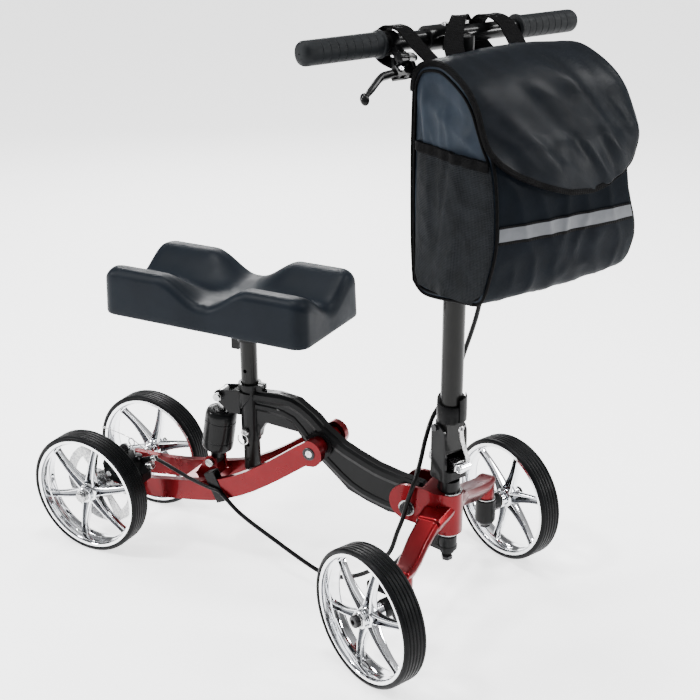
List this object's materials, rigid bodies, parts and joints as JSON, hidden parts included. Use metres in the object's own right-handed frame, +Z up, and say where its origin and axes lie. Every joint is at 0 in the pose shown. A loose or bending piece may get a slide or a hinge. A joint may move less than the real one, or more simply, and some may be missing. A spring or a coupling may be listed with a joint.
{
  "type": "knee walker",
  "caption": "Knee walker with a padded knee rest, folding steerable handlebar, carry bag, hand brake and sprung rear swing arm on large spoked wheels.",
  "frame": {"origin": "middle of the underside of the bounding box, on the floor", "axes": "+X forward, +Y to the rider's left, +Z up"},
  "size_m": [0.911, 0.5166, 0.8684],
  "materials": {
    "red_paint": "gloss",
    "black_paint": "satin",
    "chrome": "polished",
    "steel": "zinc plated",
    "tyre": "matte",
    "rubber": "matte",
    "bag_cloth": "woven",
    "pad_cover": "matte vinyl"
  },
  "bodies": {
    "frame": {"main_beam": "black_paint", "seat_tube": "black_paint", "seat_collar": "black_paint", "shock_bracket": "black_paint", "front_head": "red_paint", "axle_arm_right": "red_paint", "axle_arm_left": "red_paint", "lug_bolt": "black_paint", "shock_upper_bolt": "steel", "cable_loop": "rubber"},
    "swing_arm": {"swing_arm_right": "red_paint", "swing_arm_left": "red_paint", "pivot_sleeve": "red_paint", "pivot_bolt": "steel", "rear_axle": "steel", "shock_lower_bracket": "red_paint", "shock_lower_bolt": "steel", "brake_calliper": "black_paint", "cable_clip": "rubber", "cable_on_swing_arm": "rubber"},
    "calliper_arm": {"calliper_arm": "black_paint"},
    "shock_rod": {"shock_rod": "steel"},
    "shock_body": {"shock_body": "black_paint"},
    "rear_wheel_right": {"tyre_rear_right": "tyre", "wheel_rear_right": "chrome", "brake_rotor": "steel"},
    "rear_wheel_left": {"tyre_rear_left": "tyre", "wheel_rear_left": "chrome"},
    "front_wheel_right": {"tyre_front_right": "tyre", "wheel_front_right": "chrome"},
    "front_wheel_left": {"tyre_front_left": "tyre", "wheel_front_left": "chrome"},
    "knuckle_right": {"knuckle_front_right": "black_paint", "axle_cap_front_right": "black_paint"},
    "knuckle_left": {"knuckle_front_left": "black_paint", "axle_cap_front_left": "black_paint"},
    "steering": {"steering_column": "black_paint", "steering_crank": "black_paint", "fold_pin": "steel", "lock_skewer": "steel"},
    "tie_rod_right": {"tie_rod_right": "black_paint"},
    "tie_rod_left": {"tie_rod_left": "black_paint"},
    "quick_release": {"quick_release_lever": "chrome"},
    "stem": {"stem_tube": "black_paint", "stem_boot": "rubber", "height_clamp": "black_paint"},
    "handlebar": {"handlebar_post": "black_paint", "bar_clamp": "black_paint", "handlebar": "black_paint", "grip_right": "rubber", "grip_left": "rubber", "brake_lever_mount": "black_paint", "carry_bag": "bag_cloth", "cable_on_bar": "rubber"},
    "brake_lever": {"brake_lever": "black_paint"},
    "seat": {"seat_post": "black_paint", "pad_bracket": "black_paint", "knee_pad": "pad_cover"},
    "snap_pin": {"snap_pin": "steel"}
  },
  "joints": [
    {"name": "swing_pivot", "type": "hinge", "parent": "frame", "child": "swing_arm", "pos_m": [0.03144, -0.00308, 0.23736], "axis": [0, 1, 0], "range_deg": [0, 2.2], "stiffness_Nm_per_rad": 2500, "deforming": ["cable_loop"]},
    {"name": "shock_pivot", "type": "hinge", "parent": "frame", "child": "shock_rod", "pos_m": [-0.14446, -0.00308, 0.28426], "axis": [0, 1, 0], "range_deg": [-0.1, 2]},
    {"name": "shock_stroke", "type": "slide", "parent": "shock_rod", "child": "shock_body", "axis": [0.1778, 0, 0.9841], "range_m": [-0.0002, 0.0072]},
    {"name": "rear_wheel_right_spin", "type": "hinge", "parent": "swing_arm", "child": "rear_wheel_right", "pos_m": [-0.35456, -0.09108, 0.10096], "axis": [0, 1, 0], "continuous": true},
    {"name": "rear_wheel_left_spin", "type": "hinge", "parent": "swing_arm", "child": "rear_wheel_left", "pos_m": [-0.35456, 0.08492, 0.10096], "axis": [0, 1, 0], "continuous": true},
    {"name": "front_wheel_right_spin", "type": "hinge", "parent": "knuckle_right", "child": "front_wheel_right", "pos_m": [0.21123, -0.2004, 0.10096], "axis": [0.4163, 0.9092, 0], "continuous": true},
    {"name": "front_wheel_left_spin", "type": "hinge", "parent": "knuckle_left", "child": "front_wheel_left", "pos_m": [0.25619, 0.2004, 0.10096], "axis": [0.4163, 0.9092, 0], "continuous": true},
    {"name": "steering_turn", "type": "hinge", "parent": "frame", "child": "steering", "pos_m": [0.24044, -0.00308, 0.11936], "axis": [0, 0, 1], "range_deg": [-10, 59], "deforming": ["cable_loop"]},
    {"name": "kingpin_right_turn", "type": "hinge", "parent": "frame", "child": "knuckle_right", "pos_m": [0.24044, -0.15438, 0.09936], "axis": [0, 0, 1], "range_deg": [-10, 59]},
    {"name": "kingpin_left_turn", "type": "hinge", "parent": "frame", "child": "knuckle_left", "pos_m": [0.24044, 0.14822, 0.09936], "axis": [0, 0, 1], "range_deg": [-10, 59]},
    {"name": "tie_rod_right_swing", "type": "hinge", "parent": "steering", "child": "tie_rod_right", "pos_m": [0.18874, 0.00409, 0.10586], "axis": [0, 0, 1], "range_deg": [-59, 10]},
    {"name": "tie_rod_left_swing", "type": "hinge", "parent": "steering", "child": "tie_rod_left", "pos_m": [0.20122, 0.03137, 0.10586], "axis": [0, 0, 1], "range_deg": [-59, 10]},
    {"name": "quick_release_turn", "type": "hinge", "parent": "steering", "child": "quick_release", "pos_m": [0.2659, -0.01474, 0.25586], "axis": [0.4163, 0.9092, 0], "range_deg": [0, 120]},
    {"name": "stem_fold", "type": "hinge", "parent": "steering", "child": "stem", "pos_m": [0.23317, 0.00025, 0.31236], "axis": [-0.4163, -0.9092, 0], "range_deg": [0, 42], "deforming": ["cable_loop"]},
    {"name": "handlebar_height", "type": "slide", "parent": "stem", "child": "handlebar", "axis": [0, 0, 1], "range_m": [-0.05, 0.08], "deforming": ["cable_loop"]},
    {"name": "brake_lever_pull", "type": "hinge", "parent": "handlebar", "child": "brake_lever", "pos_m": [0.20109, -0.10824, 0.82236], "axis": [-0.6826, 0.3125, -0.6606], "range_deg": [0, 20], "stiffness_Nm_per_rad": 0.3, "springref_deg": -20.05},
    {"name": "calliper_arm_turn", "type": "hinge", "parent": "swing_arm", "child": "calliper_arm", "pos_m": [-0.30656, -0.07308, 0.14136], "axis": [0, 1, 0], "range_deg": [0, 15]},
    {"name": "seat_height", "type": "slide", "parent": "frame", "child": "seat", "axis": [0, 0, 1], "range_m": [-0.05, 0.025]},
    {"name": "snap_pin_pull", "type": "slide", "parent": "frame", "child": "snap_pin", "axis": [0, -1, 0], "range_m": [0, 0.006], "stiffness_N_per_m": 600, "springref_m": -0.002}
  ],
  "couplings": [
    {"joint": "shock_pivot", "follows": "swing_pivot", "ratio": 0.878},
    {"joint": "shock_stroke", "follows": "swing_pivot", "m_per_rad": 0.1814},
    {"joint": "kingpin_right_turn", "follows": "steering_turn", "ratio": 1},
    {"joint": "kingpin_left_turn", "follows": "steering_turn", "ratio": 1},
    {"joint": "tie_rod_right_swing", "follows": "steering_turn", "ratio": -1},
    {"joint": "tie_rod_left_swing", "follows": "steering_turn", "ratio": -1},
    {"joint": "calliper_arm_turn", "follows": "brake_lever_pull", "ratio": 0.75}
  ]
}
